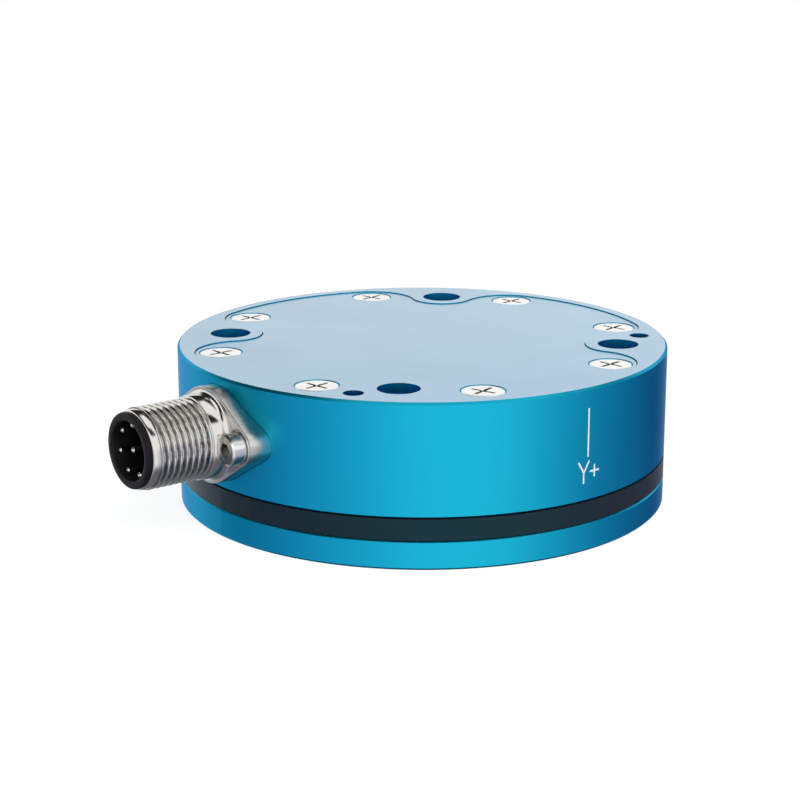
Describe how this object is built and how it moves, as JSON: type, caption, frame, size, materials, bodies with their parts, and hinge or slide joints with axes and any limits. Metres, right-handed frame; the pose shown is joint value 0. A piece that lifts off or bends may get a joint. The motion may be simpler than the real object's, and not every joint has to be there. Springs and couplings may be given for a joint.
{
  "type": "force torque sensor",
  "caption": "Low round six-axis force torque sensor: an anodised housing with a screwed top cover, an elastomer band, a tool flange and a radial circular connector.",
  "frame": {"origin": "centre of the tool face, on the sensor's axis", "axes": "+Z from the tool face to the robot's mounting face, +X out along the connector, +Y towards the marked sensor axis"},
  "size_m": [0.0902, 0.075, 0.0243],
  "materials": {
    "blue_anodised_aluminium": "satin anodised",
    "bare_aluminium": "fine machined",
    "stainless_steel": "bright",
    "black_oxide_steel": "matt",
    "black_elastomer": "matt",
    "nickel_plated_brass": "bright nickel",
    "black_plastic": "matt",
    "gold_plated_brass": "bright",
    "circuit_board_laminate": "solder mask",
    "chip_epoxy": "matt",
    "ferrite": "matt",
    "ceramic": "matt",
    "natural_plastic": "matt",
    "polyimide_film": "gloss",
    "sealing_compound": "matt",
    "enamelled_copper": "gloss"
  },
  "bodies": {
    "root": {"housing": "blue_anodised_aluminium", "cover_plate": "blue_anodised_aluminium", "cover_gasket": "black_elastomer", "cover_screws": "stainless_steel", "seal_ring": "black_elastomer", "tool_flange": "blue_anodised_aluminium", "sensing_element": "bare_aluminium", "rim_screws": "black_oxide_steel", "hub_screws": "black_oxide_steel", "hub_pins": "stainless_steel", "strain_gauges": "polyimide_film", "gauge_leads": "enamelled_copper", "circuit_board": "circuit_board_laminate", "board_standoffs": "gold_plated_brass", "board_screws": "stainless_steel", "processor_chip": "chip_epoxy", "amplifier_chips": "chip_epoxy", "converter_chip": "chip_epoxy", "regulator_coil": "ferrite", "capacitors": "ceramic", "flex_socket": "natural_plastic", "connector_shell": "nickel_plated_brass", "connector_insert": "black_plastic", "connector_pins": "gold_plated_brass", "connector_gasket": "black_elastomer", "connector_screws": "stainless_steel", "connector_potting": "sealing_compound", "connector_flex": "polyimide_film"}
  },
  "joints": []
}
